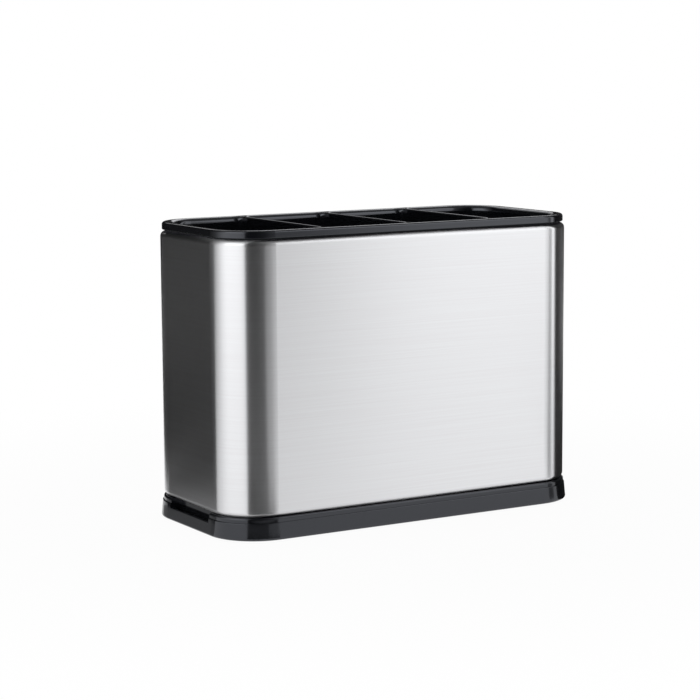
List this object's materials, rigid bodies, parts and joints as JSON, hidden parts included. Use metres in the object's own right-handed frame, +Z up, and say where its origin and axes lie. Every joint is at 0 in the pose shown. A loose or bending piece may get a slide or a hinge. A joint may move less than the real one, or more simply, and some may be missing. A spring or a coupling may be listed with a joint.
{
  "type": "cutlery holder",
  "caption": "Upright rounded-rectangle cutlery holder: brushed steel sleeve on a black moulded drip base, with a lift-out black insert divided into pockets.",
  "frame": {"origin": "on the table, under the middle of the holder", "axes": "+X along the long side to the right as seen from the front, +Y from front to back, +Z up"},
  "size_m": [0.1798, 0.0848, 0.13],
  "materials": {
    "brushed_steel": "fine hairline brushed stainless steel, bright satin",
    "black_plastic": "black moulded plastic, semi-gloss",
    "rubber": "matte black rubber"
  },
  "bodies": {
    "base": {"base_tray": "black_plastic", "foot_front_left": "rubber", "foot_front_right": "rubber", "foot_rear_left": "rubber", "foot_rear_right": "rubber"},
    "sleeve": {"steel_sleeve": "brushed_steel"},
    "insert": {"compartment_insert": "black_plastic"}
  },
  "joints": [
    {"name": "sleeve_lift", "type": "slide", "parent": "base", "child": "sleeve", "axis": [0, 0, 1], "range_m": [0, 0.04]},
    {"name": "insert_lift", "type": "slide", "parent": "sleeve", "child": "insert", "axis": [0, 0, 1], "range_m": [0, 0.125]}
  ]
}
